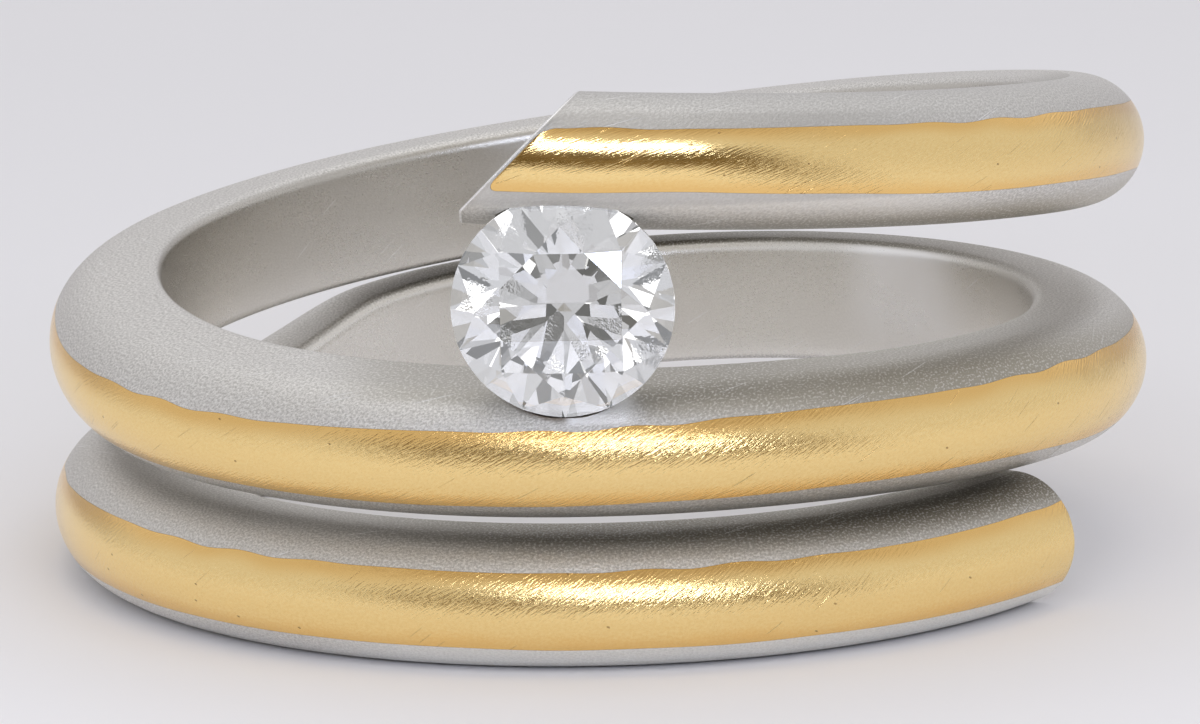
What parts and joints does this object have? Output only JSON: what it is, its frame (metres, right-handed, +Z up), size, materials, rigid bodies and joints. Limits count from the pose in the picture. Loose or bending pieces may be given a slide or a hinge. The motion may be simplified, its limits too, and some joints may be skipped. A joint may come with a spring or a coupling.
{
  "type": "solitaire ring",
  "caption": "Spiral finger ring lying flat: half-round wire in overlapping turns, a gold strip let into its outer face, a round brilliant clamped between two turns.",
  "frame": {"origin": "on the finger hole's axis, at the level of the surface that the lowest turn rests on", "axes": "+Z up along the finger hole, -Y towards the stone, +X to the right as seen from the stone's side"},
  "size_m": [0.022, 0.0223, 0.0111],
  "materials": {
    "band_metal": "satin platinum, fine sand-matt with brushed lines",
    "gold": "satin yellow gold, polished by wear on its crest",
    "diamond": "clear polished brilliant"
  },
  "bodies": {
    "root": {"spiral_band": "band_metal", "gold_inlay": "gold", "stone": "diamond"}
  },
  "joints": []
}
